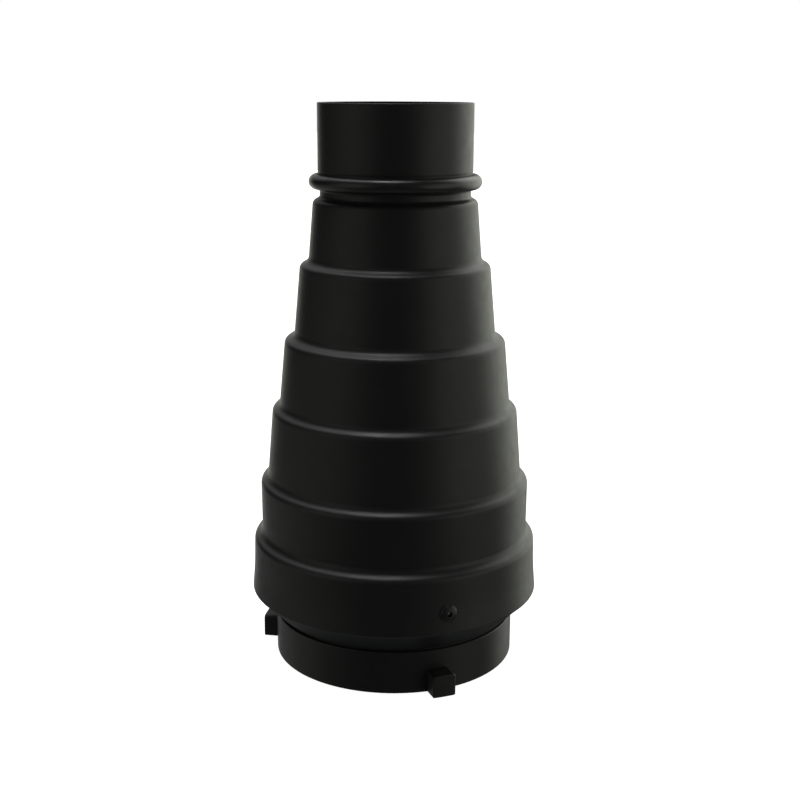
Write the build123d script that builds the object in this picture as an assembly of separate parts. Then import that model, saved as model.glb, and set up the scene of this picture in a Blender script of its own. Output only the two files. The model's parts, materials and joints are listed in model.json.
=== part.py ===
from build123d import *
import math
import os

# A stepped conical snoot with a three-lug bayonet collar, in millimetres.
# It stands on the collar's bottom rim: z = 0 there, +Z runs up to the nose, and the snoot's axis is Z.
# Azimuth 0 faces -Y and grows towards +X.

# ---- cone shell: spun sheet ----
SHELL_WALL = 0.8
NOSE_RADIUS = 31.0
NOSE_TOP = 227.7
NOSE_BOTTOM = 201.2
RING_SEAT_RADIUS = 30.85
RING_SEAT_TOP = 200.6
RING_SEAT_BOTTOM = 194.6
NECK_RADIUS = 30.2
NECK_TOP = 193.4
NECK_BOTTOM = 191.0
# Outer corners of the five closed steps, from the nose down:
# (shoulder radius, shoulder height, foot radius, foot height)
STEPS = [
    (33.0, 189.4, 34.9, 165.8),
    (38.5, 163.7, 41.0, 135.6),
    (45.0, 133.2, 47.4, 106.7),
    (50.4, 104.5, 52.6, 76.7),
    (55.6, 74.5, 55.4, 52.7),
]
# The open sixth step, (radius, height): its outside flares a little towards the cut edge.
SKIRT_TOP = (58.7, 50.4)
SKIRT_WAIST = (59.0, 38.0)
SKIRT_EDGE = (59.8, 28.2)
SHOULDER_BEND = 2.4
FOOT_BEND = 3.2
NECK_BEND = 1.3
NECK_ROUND = 0.8
SEAT_BEND = 2.0
SKIRT_BEND = 120.0
EDGE_ROUND = 0.3
NOSE_RIM_ROUND = 0.45

# ---- base ring: pressed sheet, nested inside the skirt ----
BASE_WALL = 1.0
NEST_GAP = 0.05
BASE_TOP = 44.0
BASE_BEND = 1.8
BASE_HOLE_RADIUS = 49.2
# The underside is a 45 degree cone: on its outer face, height = radius - UNDERSIDE_DROP.
UNDERSIDE_DROP = 31.2

# ---- mount collar: turned tube, necked where it passes through the base ring, then flared over it ----
COLLAR_RADIUS = 50.0
COLLAR_BORE = 48.8
COLLAR_SHOULDER = 17.4
COLLAR_NECK_RADIUS = 48.9
COLLAR_NECK_BORE = 47.7
COLLAR_BEND = 1.2
FLARE_RADIUS = 55.0
FLARE_WALL = 1.2
RIM_ROUND = 0.2

# ---- bayonet lugs and their countersunk rivets ----
LUG_AZIMUTHS = (20.8, 140.8, 260.8)
LUG_RADIUS = 56.6
LUG_WIDTH = 9.6
LUG_TOP = 9.3
LUG_TOP_ROUND = 1.6
LUG_BOTTOM_ROUND = 0.7
LUG_EDGE_ROUND = 0.6
SEAT_GAP = 0.03
LUG_RIVET_PITCH = 5.2
LUG_RIVET_RADIUS = 1.25
LUG_RIVET_HEAD_RADIUS = 2.2
LUG_RIVET_DEPTH = 4.6
HOLE_GAP = 0.06

# ---- blind rivets in the skirt, with the stems that break off inside them ----
SKIRT_RIVET_HEIGHT = 36.3
SKIRT_RIVET_SEAT_RADIUS = 59.22
SKIRT_RIVET_TILT = 3.8
RIVET_HEAD_RADIUS = 3.5
RIVET_HEAD_HEIGHT = 1.4
RIVET_RADIUS = 2.0
RIVET_GRIP = 2.05
RIVET_TAIL_RADIUS = 2.8
RIVET_TAIL_END = 5.2
STEM_RADIUS = 1.0
STEM_BREAK = 0.5
STEM_HEAD_RADIUS = 1.7
STEM_HEAD_LENGTH = 1.6

# ---- rubber gel ring: round section, flattened where it grips the barrel ----
GEL_RING_CENTRE = (31.7, 197.05)
GEL_RING_SECTION = 2.9
GEL_RING_BORE = 31.07

# ---- drop-in honeycomb grid ----
GRID_SEAT = 195.5
GRID_HEIGHT = 12.0
BAND_GAP = 0.08
BAND_WALL = 0.6
BAND_LIP = 1.3
CORE_GAP = 0.05
CORE_RIM = 0.5
CELL_PITCH = 5.0
CELL_WALL = 0.35
SMALLEST_CELL = 0.2


def outward(azimuth):
    """Unit vector from the axis at an azimuth."""
    angle = math.radians(azimuth)
    return Vector(math.sin(angle), -math.cos(angle), 0)


def radial_plane(azimuth, radius, height, tilt=0.0):
    """Plane facing away from the axis: X runs sideways, Y up, and a tilt turns it towards +Z."""
    facing = outward(azimuth)
    sideways = Vector(-facing.Y, facing.X, 0)
    lift = math.radians(tilt)
    normal = facing * math.cos(lift) + Vector(0, 0, math.sin(lift))
    return Plane(origin=facing * radius + Vector(0, 0, height), x_dir=sideways, z_dir=normal)


def tube(outer_radius, inner_radius, bottom, top):
    """Plain tube on the axis between two heights."""
    ring = Circle(outer_radius) - Circle(inner_radius)
    return extrude(Plane.XY.offset(bottom) * ring, top - bottom)


def revolved(section):
    """Ring from a section drawn with its radius along X and its height along Y."""
    return revolve(Plane.XZ * section, Axis.Z)


def turned(profile):
    """Pin about its own Z axis, from corners of (radius, height)."""
    return revolved(make_face(Polyline(*profile, close=True).edges()))


def crossing(point_a, heading_a, point_b, heading_b):
    """Where two lines in the section plane cross."""
    reach = (point_b - point_a).cross(heading_b).Z / heading_a.cross(heading_b).Z
    return point_a + heading_a * reach


def shifted(corners, distance):
    """Corners of the line that runs beside an open polyline, to the right of it."""
    points = [Vector(*corner) for corner in corners]
    headings = [(end - start).normalized() for start, end in zip(points, points[1:])]
    moves = [Vector(heading.Y, -heading.X) * distance for heading in headings]
    beside = [points[0] + moves[0]]
    for index, corner in enumerate(points[1:-1]):
        start, end = corner + moves[index], corner + moves[index + 1]
        beside.append(crossing(start, headings[index], end, headings[index + 1]))
    beside.append(points[-1] + moves[-1])
    return beside


def sheet_section(corners, bends, wall):
    """Section of a bent sheet: its left side follows the corners, and its wall lies to the right."""
    left = [Vector(*corner) for corner in corners]
    right = shifted(corners, wall)
    right_bends = []
    for bend, before, corner, after in zip(bends, left, left[1:], left[2:]):
        turns_left = (corner - before).cross(after - corner).Z > 0
        right_bends.append(bend + wall if turns_left else bend - wall)
    left_side = FilletPolyline(*left, radius=bends)
    right_side = FilletPolyline(*right, radius=right_bends)
    ends = [Line(left[0], right[0]), Line(left[-1], right[-1])]
    return make_face(left_side.edges() + right_side.edges() + ends)


def rounded_section(corners):
    """Closed section from corners of (radius, height, rounding)."""
    points = [corner[:2] for corner in corners]
    roundings = [corner[2] for corner in corners]
    return make_face(FilletPolyline(*points, radius=roundings, close=True).edges())


def circles_at(solid, radius, height):
    """Circular edges of a ring that lie within half a millimetre of a radius and height."""
    def near(edge):
        return abs(edge.radius - radius) < 0.5 and abs(edge.center().Z - height) < 0.5
    round_edges = solid.edges().filter_by(GeomType.CIRCLE)
    return [e for e in round_edges if abs(e.arc_center.X) + abs(e.arc_center.Y) < 0.01 and near(e)]


def skirt_rivet_planes():
    """Seats of the blind rivet heads, on the outside of the skirt and square to it."""
    radius, height, tilt = SKIRT_RIVET_SEAT_RADIUS, SKIRT_RIVET_HEIGHT, SKIRT_RIVET_TILT
    return [radial_plane(azimuth, radius, height, tilt) for azimuth in LUG_AZIMUTHS]


def skirt_rivet_holes():
    drill = Cylinder(RIVET_RADIUS + HOLE_GAP, 4 * RIVET_TAIL_END)
    return [plane.location * drill for plane in skirt_rivet_planes()]


def lug_rivet_planes():
    """Seats of the countersunk heads, on the collar's bore and facing outwards, two behind each lug."""
    seats = []
    for azimuth in LUG_AZIMUTHS:
        middle = radial_plane(azimuth, COLLAR_BORE, LUG_TOP / 2)
        seats += [middle.location * Pos(side * LUG_RIVET_PITCH, 0, 0) for side in (-0.5, 0.5)]
    return seats


def countersunk(gap=0.0):
    """Countersunk rivet with its flat head on Z = 0, or with a gap the hole that it fits."""
    head, shank = LUG_RIVET_HEAD_RADIUS + gap, LUG_RIVET_RADIUS + gap
    end = LUG_RIVET_DEPTH + gap
    return turned([(0, 0), (head, 0), (shank, head - shank), (shank, end), (0, end)])


def lug_rivet_holes():
    mouth = COLLAR_RADIUS - COLLAR_BORE
    drill = countersunk(HOLE_GAP)
    drill += Pos(0, 0, -mouth / 2) * Cylinder(LUG_RIVET_HEAD_RADIUS + HOLE_GAP, mouth)
    return [seat * drill for seat in lug_rivet_planes()]


def cone_shell():
    corners = [(NOSE_RADIUS, NOSE_TOP), (NOSE_RADIUS, NOSE_BOTTOM)]
    corners += [(RING_SEAT_RADIUS, RING_SEAT_TOP), (RING_SEAT_RADIUS, RING_SEAT_BOTTOM)]
    corners += [(NECK_RADIUS, NECK_TOP), (NECK_RADIUS, NECK_BOTTOM)]
    bends = [SEAT_BEND, SEAT_BEND, NECK_BEND, NECK_ROUND, NECK_BEND]
    for shoulder_radius, shoulder_height, foot_radius, foot_height in STEPS:
        corners += [(shoulder_radius, shoulder_height), (foot_radius, foot_height)]
        bends += [SHOULDER_BEND, FOOT_BEND]
    corners += [SKIRT_TOP, SKIRT_WAIST, SKIRT_EDGE]
    bends += [SHOULDER_BEND, SKIRT_BEND]
    shell = revolved(sheet_section(corners, bends, SHELL_WALL))
    shell = fillet(circles_at(shell, NOSE_RADIUS, NOSE_TOP), NOSE_RIM_ROUND)
    rims = circles_at(shell, NOSE_RADIUS - SHELL_WALL, NOSE_TOP)
    rims += circles_at(shell, SKIRT_EDGE[0] - SHELL_WALL / 2, SKIRT_EDGE[1])
    shell = fillet(rims, EDGE_ROUND)
    for hole in skirt_rivet_holes():
        shell -= hole
    return shell


def base_ring():
    wall_top, waist, wall_end = shifted([SKIRT_TOP, SKIRT_WAIST, SKIRT_EDGE], SHELL_WALL + NEST_GAP)
    top = crossing(waist, wall_top - waist, Vector(0, BASE_TOP), Vector(1, 0))
    cone_heading = Vector(-1, -1)
    crease = crossing(waist, wall_end - waist, Vector(UNDERSIDE_DROP, 0), cone_heading)
    foot = crease + cone_heading * (crease.X - BASE_HOLE_RADIUS + BASE_WALL)
    bends = [SKIRT_BEND + SHELL_WALL + NEST_GAP, BASE_BEND]
    ring = revolved(sheet_section([top, waist, crease, foot], bends, BASE_WALL))
    ring -= Cylinder(BASE_HOLE_RADIUS, 4 * BASE_TOP)
    ring = fillet(circles_at(ring, BASE_HOLE_RADIUS, BASE_HOLE_RADIUS - UNDERSIDE_DROP), EDGE_ROUND)
    for hole in skirt_rivet_holes():
        ring -= hole
    return ring


def mount_collar():
    slant = math.sqrt(2)
    under_flare = (BASE_WALL + NEST_GAP) * slant - UNDERSIDE_DROP
    over_flare = under_flare + FLARE_WALL * slant
    lip_radius = FLARE_RADIUS - FLARE_WALL / slant
    collar = revolved(rounded_section([
        (COLLAR_RADIUS, 0, RIM_ROUND),
        (COLLAR_RADIUS, COLLAR_SHOULDER, EDGE_ROUND),
        (COLLAR_NECK_RADIUS, COLLAR_SHOULDER + EDGE_ROUND, 0),
        (COLLAR_NECK_RADIUS, COLLAR_NECK_RADIUS + under_flare, COLLAR_BEND),
        (FLARE_RADIUS, FLARE_RADIUS + under_flare, EDGE_ROUND),
        (lip_radius, lip_radius + over_flare, EDGE_ROUND),
        (COLLAR_NECK_BORE, COLLAR_NECK_BORE + over_flare, COLLAR_BEND + FLARE_WALL),
        (COLLAR_NECK_BORE, COLLAR_SHOULDER - COLLAR_BEND / 2, EDGE_ROUND),
        (COLLAR_BORE, COLLAR_SHOULDER - 3 * COLLAR_BEND / 2, EDGE_ROUND),
        (COLLAR_BORE, 0, RIM_ROUND),
    ]))
    for hole in lug_rivet_holes():
        collar -= hole
    return collar


def bayonet_lug(azimuth):
    """Block standing on the rim's plane, curved to the collar behind and round its axis in front."""
    half = LUG_WIDTH / 2
    front = rounded_section([
        (-half, 0, LUG_BOTTOM_ROUND),
        (half, 0, LUG_BOTTOM_ROUND),
        (half, LUG_TOP, LUG_TOP_ROUND),
        (-half, LUG_TOP, LUG_TOP_ROUND),
    ])
    block = extrude(radial_plane(azimuth, COLLAR_RADIUS, 0).location * front, LUG_WIDTH, both=True)
    lug = block & tube(LUG_RADIUS, COLLAR_RADIUS + SEAT_GAP, 0, LUG_TOP)
    facing = outward(azimuth)
    showing = [edge for edge in lug.edges() if edge.center().dot(facing) > LUG_RADIUS - LUG_EDGE_ROUND]
    lug = fillet(showing, LUG_EDGE_ROUND)
    for hole in lug_rivet_holes():
        lug -= hole
    return lug


def skirt_rivet():
    """Set blind rivet: domed head on Z = 0, shank, bulged tail behind the sheets, bore right through."""
    bore = STEM_RADIUS + HOLE_GAP
    crown = (0.75 * RIVET_HEAD_RADIUS, 0.72 * RIVET_HEAD_HEIGHT)
    dome = ThreePointArc((RIVET_HEAD_RADIUS, EDGE_ROUND), crown, (bore, RIVET_HEAD_HEIGHT))
    below = Polyline((bore, RIVET_HEAD_HEIGHT), (bore, -RIVET_TAIL_END), (RIVET_RADIUS, -RIVET_TAIL_END),
                     (RIVET_TAIL_RADIUS, -(RIVET_TAIL_END + RIVET_GRIP) / 2), (RIVET_RADIUS, -RIVET_GRIP),
                     (RIVET_RADIUS, 0), (RIVET_HEAD_RADIUS, 0), (RIVET_HEAD_RADIUS, EDGE_ROUND))
    return revolved(make_face([dome] + below.edges()))


def skirt_rivet_stem():
    """Steel stem left in a blind rivet: broken off below the dome, with its own head behind the tail."""
    neck, end = -RIVET_TAIL_END - HOLE_GAP, -RIVET_TAIL_END - HOLE_GAP - STEM_HEAD_LENGTH
    return turned([(0, STEM_BREAK), (STEM_RADIUS, STEM_BREAK - EDGE_ROUND), (STEM_RADIUS, neck),
                   (STEM_HEAD_RADIUS, neck), (STEM_HEAD_RADIUS, end + EDGE_ROUND),
                   (STEM_HEAD_RADIUS - EDGE_ROUND, end), (0, end)])


def gel_ring():
    round_part = Pos(*GEL_RING_CENTRE) * Circle(GEL_RING_SECTION)
    reach = 4 * GEL_RING_SECTION
    outside_bore = Pos(GEL_RING_BORE + reach / 2, GEL_RING_CENTRE[1]) * Rectangle(reach, reach)
    section = round_part & outside_bore
    return revolved(fillet(section.vertices(), EDGE_ROUND))


def grid_band_radius():
    return RING_SEAT_RADIUS - SHELL_WALL - BAND_GAP


def grid_frame():
    """Rolled band with an inward lip at each end, which hold the honeycomb."""
    outer, wall, lip = grid_band_radius(), grid_band_radius() - BAND_WALL, grid_band_radius() - BAND_LIP
    bottom, top = GRID_SEAT, GRID_SEAT + GRID_HEIGHT
    return revolved(rounded_section([
        (outer, bottom, BAND_WALL),
        (outer, top, BAND_WALL),
        (lip, top, 0),
        (lip, top - BAND_WALL, 0),
        (wall, top - BAND_WALL, 0),
        (wall, bottom + BAND_WALL, 0),
        (lip, bottom + BAND_WALL, 0),
        (lip, bottom, 0),
    ]))


def honeycomb_cells(radius):
    """Hexagonal cells trimmed to a circle, without the slivers at its edge."""
    cell = RegularPolygon((CELL_PITCH - CELL_WALL) / 2, 6, major_radius=False, rotation=30)
    row_pitch = CELL_PITCH * math.sqrt(3) / 2
    rows = int(radius / row_pitch) + 1
    cells = []
    for row in range(-rows, rows + 1):
        for column in range(-rows - 2, rows + 3):
            place = Vector((column + (row % 2) / 2) * CELL_PITCH, row * row_pitch)
            if place.length > radius + CELL_PITCH / 2:
                continue
            trimmed = (Pos(place) * cell) & Circle(radius)
            if trimmed and trimmed.area > SMALLEST_CELL * cell.area:
                cells.append(trimmed)
    return cells


def grid_core():
    radius = grid_band_radius() - BAND_WALL - CORE_GAP
    inset = BAND_WALL + CORE_GAP
    face = Circle(radius) - honeycomb_cells(radius - CORE_RIM)
    return extrude(Plane.XY.offset(GRID_SEAT + inset) * face, GRID_HEIGHT - 2 * inset)


def all_parts():
    parts = {
        "cone_shell": cone_shell(),
        "base_ring": base_ring(),
        "mount_collar": mount_collar(),
        "gel_ring": gel_ring(),
        "grid_frame": grid_frame(),
        "grid_core": grid_core(),
    }
    for number, azimuth in enumerate(LUG_AZIMUTHS, start=1):
        parts[f"bayonet_lug_{number}"] = bayonet_lug(azimuth)
    for number, plane in enumerate(skirt_rivet_planes(), start=1):
        parts[f"skirt_rivet_{number}"] = plane.location * skirt_rivet()
        parts[f"skirt_rivet_stem_{number}"] = plane.location * skirt_rivet_stem()
    for number, seat in enumerate(lug_rivet_planes(), start=1):
        parts[f"lug_rivet_{number}"] = seat * countersunk()
    return parts


os.makedirs("parts", exist_ok=True)
for name, part in all_parts().items():
    export_step(part, f"parts/{name}.step")
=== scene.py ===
import json
import math

import bpy
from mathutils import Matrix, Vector

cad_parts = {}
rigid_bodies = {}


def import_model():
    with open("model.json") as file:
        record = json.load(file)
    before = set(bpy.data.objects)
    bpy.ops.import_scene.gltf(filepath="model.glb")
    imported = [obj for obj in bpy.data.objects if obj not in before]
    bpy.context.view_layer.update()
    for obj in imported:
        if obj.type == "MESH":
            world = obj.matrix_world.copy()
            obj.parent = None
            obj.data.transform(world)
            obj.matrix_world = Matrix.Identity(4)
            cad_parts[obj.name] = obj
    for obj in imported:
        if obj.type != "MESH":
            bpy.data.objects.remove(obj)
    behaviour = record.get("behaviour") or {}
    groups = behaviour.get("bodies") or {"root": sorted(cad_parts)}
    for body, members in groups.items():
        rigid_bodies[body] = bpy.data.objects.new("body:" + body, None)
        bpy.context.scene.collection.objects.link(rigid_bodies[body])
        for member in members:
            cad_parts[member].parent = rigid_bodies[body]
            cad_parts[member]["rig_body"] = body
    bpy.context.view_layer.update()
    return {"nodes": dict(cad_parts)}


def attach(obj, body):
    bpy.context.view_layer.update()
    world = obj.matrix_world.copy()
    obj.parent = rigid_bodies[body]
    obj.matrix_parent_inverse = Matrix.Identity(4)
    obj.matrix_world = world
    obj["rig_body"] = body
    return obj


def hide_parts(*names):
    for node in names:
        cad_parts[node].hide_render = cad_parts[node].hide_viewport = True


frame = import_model()

# ---- camera, in metres and degrees: slightly above the nose, looking down at the waist ----
CAMERA_DISTANCE = 0.5123
CAMERA_HEIGHT = 0.2343
CAMERA_PITCH = 13.04
CAMERA_ROLL = -0.21
CAMERA_LENS = 57.3
CAMERA_SENSOR = 36.0
CAMERA_SHIFT = (0.0053, -0.025)

# ---- studio: soft lights far off, each (azimuth, elevation, core, edge, strength, colour) ----
# A light is full within its core angle and fades out at its edge angle, both in degrees.
WARM = (0.97, 1.0, 0.885)
COOL = (0.96, 1.0, 1.02)
NEUTRAL = (1.0, 0.99, 1.02)
SOFTBOXES = {
    "right_panel": (134, 10, 16, 45, 1.52, WARM),
    "left_fill": (-60, 8, 10, 36, 0.31, WARM),
    "right_fill": (66, 4, 10, 40, 0.55, WARM),
    "front_fill": (0, 10, 10, 90, 0.038, COOL),
    "back_strip": (-168, -7, 6, 25, 1.2, WARM),
    "left_table": (-97, -24, 8, 30, 0.22, WARM),
    "top_light": (-105, 85, 3, 13, 8.6, NEUTRAL),
    "top_left_light": (-128, 64, 5, 22, 1.6, NEUTRAL),
    "back_left_ceiling": (-150, 38, 6, 30, 0.45, NEUTRAL),
    "back_right_ceiling": (148, 44, 8, 34, 0.7, NEUTRAL),
    "low_back_bounce": (-138, -28, 8, 26, 0.22, NEUTRAL),
    "table_bounce": (0, -90, 30, 62, 0.12, COOL),
}
FLOOR_RADIUS = 6.0
FLOOR_GLOW = 0.965
FLOOR_DROP = 0.0001
FLOOR_SIDES = 96
FLOOR_ROUGHNESS = 0.9
PAPER_TONES = [(0.3, (0.93, 0.93, 0.93)), (0.7, (0.95, 0.95, 0.95))]
PAPER_SCALE = 3.0

# ---- materials: noise scales in cycles per metre, sizes and bump depths in metres ----
CLOUD_SCALE = 35.0
GLOSS_SCALE = 220.0
WORN_PAINT = (0.06, 0.06, 0.058)
BEVEL_SAMPLES = 6
EDGE_RADIUS = 0.0006
EDGE_LIKENESS = (0.90, 0.985)
EDGE_BREAKUP_SCALE = 900.0
EDGE_BREAKUP = (0.3, 1.0)
SPECK_SIZE = (0.06, 0.12)
DUST_PATCH_SCALE = 60.0
PALE_DUST = (0.05, 0.05, 0.047)
RUBBER_GLOSS = 0.65
ANODISED_METALLIC = 0.35

# ---- turned pieces: how many flats round the axis ----
TURNED_SEGMENTS = 240
SEAM_TOLERANCE = 1e-7
TURNED_NODES = ("cone_shell", "base_ring", "gel_ring", "grid_frame")


def direction(azimuth, elevation=0.0):
    """Unit vector; azimuth 0 is -Y, towards the camera, and grows towards +X."""
    turn, lift = math.radians(azimuth), math.radians(elevation)
    return Vector((math.sin(turn) * math.cos(lift), -math.cos(turn) * math.cos(lift), math.sin(lift)))


# ---- turned pieces, made again from the CAD section with even faces ----
def seam_segments(mesh):
    """Section of a turned CAD mesh, cut at +X: {(start, end): (start normal, end normal)}.

    Places and normals are (radius, height).
    """
    places = {}
    for vertex in mesh.vertices:
        if abs(vertex.co.y) < SEAM_TOLERANCE and vertex.co.x > 0:
            places[vertex.index] = (round(vertex.co.x, 7), round(vertex.co.z, 7))
    segments = {}
    for face in mesh.polygons:
        loops = [(mesh.loops[i].vertex_index, mesh.corner_normals[i].vector) for i in face.loop_indices]
        for (first, first_normal), (second, second_normal) in zip(loops, loops[1:] + loops[:1]):
            if first not in places or second not in places or places[first] == places[second]:
                continue
            ends = sorted(((places[first], first_normal), (places[second], second_normal)))
            segments[ends[0][0], ends[1][0]] = (ends[0][1].xz.normalized(), ends[1][1].xz.normalized())
    return segments


def section_loop(segments):
    """Segments put end to end, each (start, end, start normal, end normal)."""
    meeting = {}
    for start, end in segments:
        meeting.setdefault(start, []).append(end)
        meeting.setdefault(end, []).append(start)
    here = first = min(meeting)
    before = None
    loop = []
    while before is None or here != first:
        after = [place for place in meeting[here] if place != before][0]
        key = (here, after) if (here, after) in segments else (after, here)
        normals = segments[key] if key[0] == here else segments[key][::-1]
        loop.append((here, after, *normals))
        before, here = here, after
    return loop


def turned_copy(name):
    """Piece with the CAD node's own section, turned in even steps with true normals, in the node's place."""
    loop = section_loop(seam_segments(frame["nodes"][name].data))
    turns = [direction(360 * step / TURNED_SEGMENTS) for step in range(TURNED_SEGMENTS)]
    vertices = [turn * start[0] + Vector((0, 0, start[1])) for start, *_ in loop for turn in turns]
    faces, normals = [], []
    for ring, (start, end, start_normal, end_normal) in enumerate(loop):
        next_ring = (ring + 1) % len(loop)
        along = Vector(end) - Vector(start)
        flip = along.cross(start_normal + end_normal) > 0
        for step in range(TURNED_SEGMENTS):
            next_step = (step + 1) % TURNED_SEGMENTS
            corners = [(ring, step, start_normal), (ring, next_step, start_normal)]
            corners += [(next_ring, next_step, end_normal), (next_ring, step, end_normal)]
            corners = corners[::-1] if flip else corners
            faces.append([r * TURNED_SEGMENTS + s for r, s, _ in corners])
            normals += [turns[s] * n.x + Vector((0, 0, n.y)) for _, s, n in corners]
    mesh = bpy.data.meshes.new(f"{name}_turned")
    mesh.from_pydata(vertices, [], faces)
    mesh.normals_split_custom_set(normals)
    piece = bpy.data.objects.new(f"{name}_turned", mesh)
    bpy.context.scene.collection.objects.link(piece)
    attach(piece, frame["nodes"][name]["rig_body"])
    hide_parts(name)
    return piece


# ---- node helpers ----
# A mix node has its sockets once for each kind of data; these are the colour ones.
MIX_FIRST = 6
MIX_SECOND = 7
MIX_RESULT = 2


def new_material(name):
    """A node material and its Principled shader."""
    material = bpy.data.materials.new(name)
    material.use_nodes = True
    return material, material.node_tree.nodes["Principled BSDF"]


def node(material, kind, **settings):
    """New node of a kind, with its settings."""
    made = material.node_tree.nodes.new(kind)
    for key, value in settings.items():
        setattr(made, key, value)
    return made


def link(material, source, target):
    material.node_tree.links.new(source, target)


def noise(material, scale, detail=4.0, roughness=0.55, stretch=(1, 1, 1)):
    """Noise over object space, in cycles per metre along each axis."""
    place = node(material, "ShaderNodeTexCoord")
    mapping = node(material, "ShaderNodeMapping")
    mapping.inputs["Scale"].default_value = stretch
    texture = node(material, "ShaderNodeTexNoise")
    texture.inputs["Scale"].default_value = scale
    texture.inputs["Detail"].default_value = detail
    texture.inputs["Roughness"].default_value = roughness
    link(material, place.outputs["Object"], mapping.inputs["Vector"])
    link(material, mapping.outputs["Vector"], texture.inputs["Vector"])
    return texture.outputs["Fac"]


def ramp(material, value, stops):
    """Colour ramp from (position, colour) stops."""
    made = node(material, "ShaderNodeValToRGB")
    elements = made.color_ramp.elements
    while len(elements) < len(stops):
        elements.new(0.5)
    for element, (position, colour) in zip(elements, stops):
        element.position = position
        element.color = (*colour, 1.0)
    link(material, value, made.inputs["Fac"])
    return made.outputs["Color"]


def remap(material, value, low, high, start=0.3, end=0.7):
    """Value stretched from start..end to low..high."""
    made = node(material, "ShaderNodeMapRange")
    made.inputs["From Min"].default_value = start
    made.inputs["From Max"].default_value = end
    made.inputs["To Min"].default_value = low
    made.inputs["To Max"].default_value = high
    link(material, value, made.inputs["Value"])
    return made.outputs["Result"]


def bump(material, height, depth, normal=None):
    """Bump of a depth in metres, laid over an earlier one if it is given."""
    made = node(material, "ShaderNodeBump")
    made.inputs["Strength"].default_value = 1.0
    made.inputs["Distance"].default_value = depth
    link(material, height, made.inputs["Height"])
    if normal is not None:
        link(material, normal, made.inputs["Normal"])
    return made.outputs["Normal"]


def mixed(material, factor, first, second):
    """Colour that goes from the first to the second with a factor."""
    made = node(material, "ShaderNodeMix", data_type="RGBA")
    link(material, factor, made.inputs["Factor"])
    for value, target in ((first, made.inputs[MIX_FIRST]), (second, made.inputs[MIX_SECOND])):
        if isinstance(value, tuple):
            target.default_value = (*value, 1.0)
        else:
            link(material, value, target)
    return made.outputs[MIX_RESULT]


def product(material, first, second):
    """Two values multiplied."""
    made = node(material, "ShaderNodeMath", operation="MULTIPLY")
    link(material, first, made.inputs[0])
    link(material, second, made.inputs[1])
    return made.outputs["Value"]


def edge_wear(material, amount):
    """0 on faces, up to an amount on sharp edges, broken up by noise."""
    rounded = node(material, "ShaderNodeBevel", samples=BEVEL_SAMPLES)
    rounded.inputs["Radius"].default_value = EDGE_RADIUS
    facing = node(material, "ShaderNodeNewGeometry")
    likeness = node(material, "ShaderNodeVectorMath", operation="DOT_PRODUCT")
    link(material, rounded.outputs["Normal"], likeness.inputs[0])
    link(material, facing.outputs["Normal"], likeness.inputs[1])
    edge = remap(material, likeness.outputs["Value"], amount, 0.0, *EDGE_LIKENESS)
    return product(material, edge, remap(material, noise(material, EDGE_BREAKUP_SCALE), *EDGE_BREAKUP))


def dust(material, scale, share):
    """0, or 1 on small specks, which lie in patches that a larger share makes wider."""
    place = node(material, "ShaderNodeTexCoord")
    cells = node(material, "ShaderNodeTexVoronoi", feature="F1")
    cells.inputs["Scale"].default_value = scale
    link(material, place.outputs["Object"], cells.inputs["Vector"])
    speck = remap(material, cells.outputs["Distance"], 1.0, 0.0, *SPECK_SIZE)
    patches = remap(material, noise(material, DUST_PATCH_SCALE), 0.0, 1.0, 1 - share, 1 - share / 2)
    return product(material, speck, patches)


def rough_and_bumped(material, shader, gloss_scale, roughness, normal):
    """Roughness that varies between two values, and a bumped normal."""
    link(material, remap(material, noise(material, gloss_scale), *roughness), shader.inputs["Roughness"])
    link(material, normal, shader.inputs["Normal"])


def paint(name, tones, roughness, grain_scale, grain_depth, wear, relief):
    """Black coat: cloudy tone, edges rubbed a little lighter, fine grain under a relief of its own."""
    material, shader = new_material(name)
    dark, light = tones
    tone = ramp(material, noise(material, CLOUD_SCALE), [(0.3, dark), (0.7, light)])
    worn = edge_wear(material, wear)
    link(material, mixed(material, worn, tone, WORN_PAINT), shader.inputs["Base Color"])
    grain = bump(material, noise(material, grain_scale, detail=2.0), grain_depth)
    rough_and_bumped(material, shader, GLOSS_SCALE, roughness, relief(material, grain))
    return material


def black_paint():
    """Fine matt powder coat on spun sheet, with faint turning marks round the axis and a few specks."""
    def relief(material, grain):
        turning = noise(material, 1.0, detail=3.0, stretch=(6.0, 6.0, 900.0))
        turned = bump(material, turning, 0.00001, grain)
        return bump(material, dust(material, scale=420.0, share=0.30), 0.00002, turned)

    tones = (0.0165, 0.0172, 0.0174), (0.0215, 0.0222, 0.0223)
    return paint("black_paint", tones, roughness=(0.39, 0.46), grain_scale=2600.0,
                 grain_depth=0.000012, wear=0.25, relief=relief)


def collar_black():
    """Satin coat over a turned collar: closer, sharper tool marks than the spun sheet."""
    def relief(material, grain):
        marks = noise(material, 1.0, detail=4.0, stretch=(3.0, 3.0, 2400.0))
        return bump(material, marks, 0.000012, grain)

    tones = (0.0152, 0.0157, 0.0160), (0.0197, 0.0202, 0.0204)
    return paint("collar_black", tones, roughness=(0.36, 0.44), grain_scale=2200.0,
                 grain_depth=0.000010, wear=0.35, relief=relief)


def lug_black():
    """Coarser, duller coat on the cast lugs."""
    def relief(material, grain):
        return bump(material, noise(material, 320.0), 0.00006, grain)

    tones = (0.0160, 0.0165, 0.0170), (0.0220, 0.0226, 0.0230)
    return paint("lug_black", tones, roughness=(0.44, 0.54), grain_scale=1300.0,
                 grain_depth=0.000045, wear=0.5, relief=relief)


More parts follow.
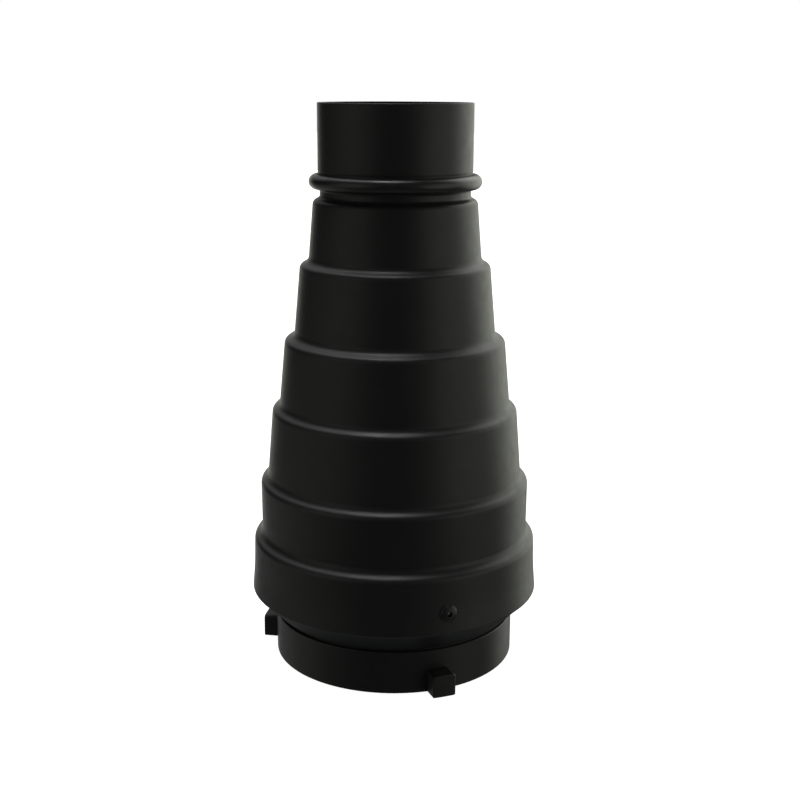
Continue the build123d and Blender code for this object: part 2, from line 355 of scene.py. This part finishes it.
def rivet_black():
    """Enamelled rivet, marked by the setting tool."""
    def relief(material, grain):
        return bump(material, noise(material, 700.0), 0.00005, grain)

    tones = (0.0140, 0.0142, 0.0145), (0.0220, 0.0222, 0.0225)
    return paint("rivet_black", tones, roughness=(0.34, 0.46), grain_scale=3200.0,
                 grain_depth=0.000012, wear=0.6, relief=relief)


def stem_steel():
    """Bare steel, torn where the stem broke off."""
    material, shader = new_material("stem_steel")
    tones = [(0.35, (0.10, 0.10, 0.10)), (0.7, (0.42, 0.42, 0.43))]
    link(material, ramp(material, noise(material, 1800.0), tones), shader.inputs["Base Color"])
    shader.inputs["Metallic"].default_value = 1.0
    torn = bump(material, noise(material, 2400.0), 0.0001)
    rough_and_bumped(material, shader, 1200.0, (0.28, 0.50), torn)
    return material


def black_rubber():
    """Moulded rubber: even satin skin, faint flow marks round it and pale dust in its pores."""
    material, shader = new_material("black_rubber")
    tones = [(0.3, (0.0130, 0.0132, 0.0130)), (0.7, (0.0190, 0.0192, 0.0188))]
    tone = ramp(material, noise(material, 60.0), tones)
    specks = dust(material, scale=900.0, share=0.4)
    link(material, mixed(material, specks, tone, PALE_DUST), shader.inputs["Base Color"])
    shader.inputs["Specular IOR Level"].default_value = RUBBER_GLOSS
    pores = bump(material, noise(material, 1900.0, detail=3.0), 0.00002)
    flow = noise(material, 1.0, detail=2.0, stretch=(40.0, 40.0, 600.0))
    rough_and_bumped(material, shader, 300.0, (0.30, 0.38), bump(material, flow, 0.00002, pores))
    return material


def grid_anodised():
    """Thin anodised foil and band, slightly creased."""
    material, shader = new_material("grid_anodised")
    tones = [(0.3, (0.012, 0.012, 0.013)), (0.7, (0.026, 0.026, 0.028))]
    link(material, ramp(material, noise(material, 140.0), tones), shader.inputs["Base Color"])
    shader.inputs["Metallic"].default_value = ANODISED_METALLIC
    creased = bump(material, noise(material, 500.0), 0.00005)
    rough_and_bumped(material, shader, 400.0, (0.30, 0.46), creased)
    return material


FINISHES = (black_paint, collar_black, lug_black, rivet_black, stem_steel, black_rubber, grid_anodised)
MATERIALS = {finish.__name__: finish() for finish in FINISHES}


def slot_of(name):
    """The record's material slot of a CAD node, which its packed material is named after."""
    return frame["nodes"][name].data.materials[0].name


def dress():
    """A full material on every CAD node, and evenly turned pieces in place of the round ones."""
    slots = {name: slot_of(name) for name in frame["nodes"]}
    for name, piece in frame["nodes"].items():
        piece.material_slots[0].link = "OBJECT"
        piece.material_slots[0].material = MATERIALS[slots[name]]
    for name in TURNED_NODES:
        piece = turned_copy(name)
        piece.data.materials.append(MATERIALS[slots[name]])


dress()


# ---- studio ----
def floor():
    """White paper: it glows for the camera, so that only a faint contact shadow shows."""
    bpy.ops.mesh.primitive_circle_add(vertices=FLOOR_SIDES, radius=FLOOR_RADIUS, fill_type="NGON",
                                      location=(0, 0, -FLOOR_DROP))
    plane = bpy.context.object
    plane.name = "studio_floor"
    material, shader = new_material("floor_paper")
    tone = ramp(material, noise(material, PAPER_SCALE), PAPER_TONES)
    link(material, tone, shader.inputs["Base Color"])
    shader.inputs["Roughness"].default_value = FLOOR_ROUGHNESS
    shader.inputs["Specular IOR Level"].default_value = 0.0
    shader.inputs["Emission Color"].default_value = (1.0, 1.0, 1.0, 1.0)
    shader.inputs["Emission Strength"].default_value = FLOOR_GLOW
    plane.data.materials.append(material)
    plane.visible_glossy = False
    plane.visible_diffuse = False
    plane.visible_shadow = False


def softbox(tree, view, azimuth, elevation, core, edge, strength, colour):
    """Round soft light on the sky: its colour where the view direction falls inside it."""
    facing = tree.nodes.new("ShaderNodeVectorMath")
    facing.operation = "DOT_PRODUCT"
    facing.inputs[1].default_value = direction(azimuth, elevation)
    fade = tree.nodes.new("ShaderNodeMapRange")
    fade.interpolation_type = "SMOOTHSTEP"
    fade.inputs["From Min"].default_value = math.cos(math.radians(edge))
    fade.inputs["From Max"].default_value = math.cos(math.radians(core))
    glow = tree.nodes.new("ShaderNodeVectorMath")
    glow.operation = "SCALE"
    glow.inputs[0].default_value = Vector(colour) * strength
    tree.links.new(view, facing.inputs[0])
    tree.links.new(facing.outputs["Value"], fade.inputs["Value"])
    tree.links.new(fade.outputs["Result"], glow.inputs["Scale"])
    return glow.outputs["Vector"]


def world():
    """White for the camera; every other ray sees the soft lights and darkness between them."""
    scene_world = bpy.data.worlds.new("studio")
    bpy.context.scene.world = scene_world
    scene_world.use_nodes = True
    tree = scene_world.node_tree
    backdrop = tree.nodes["Background"]
    backdrop.inputs["Color"].default_value = (1.0, 1.0, 1.0, 1.0)
    lights = tree.nodes.new("ShaderNodeBackground")
    view = tree.nodes.new("ShaderNodeTexCoord").outputs["Generated"]
    total = None
    for settings in SOFTBOXES.values():
        glow = softbox(tree, view, *settings)
        if total is not None:
            both = tree.nodes.new("ShaderNodeVectorMath")
            tree.links.new(total, both.inputs[0])
            tree.links.new(glow, both.inputs[1])
            glow = both.outputs["Vector"]
        total = glow
    tree.links.new(total, lights.inputs["Color"])
    path = tree.nodes.new("ShaderNodeLightPath")
    choice = tree.nodes.new("ShaderNodeMixShader")
    tree.links.new(path.outputs["Is Camera Ray"], choice.inputs[0])
    tree.links.new(lights.outputs[0], choice.inputs[1])
    tree.links.new(backdrop.outputs[0], choice.inputs[2])
    tree.links.new(choice.outputs[0], tree.nodes["World Output"].inputs["Surface"])


def camera():
    data = bpy.data.cameras.new("camera")
    data.lens = CAMERA_LENS
    data.sensor_width = CAMERA_SENSOR
    data.shift_x, data.shift_y = CAMERA_SHIFT
    made = bpy.data.objects.new("camera", data)
    bpy.context.scene.collection.objects.link(made)
    made.location = (0, -CAMERA_DISTANCE, CAMERA_HEIGHT)
    made.rotation_euler = (math.radians(90 - CAMERA_PITCH), math.radians(CAMERA_ROLL), 0)
    bpy.context.scene.camera = made


floor()
world()
camera()
bpy.context.scene.view_settings.view_transform = "Standard"
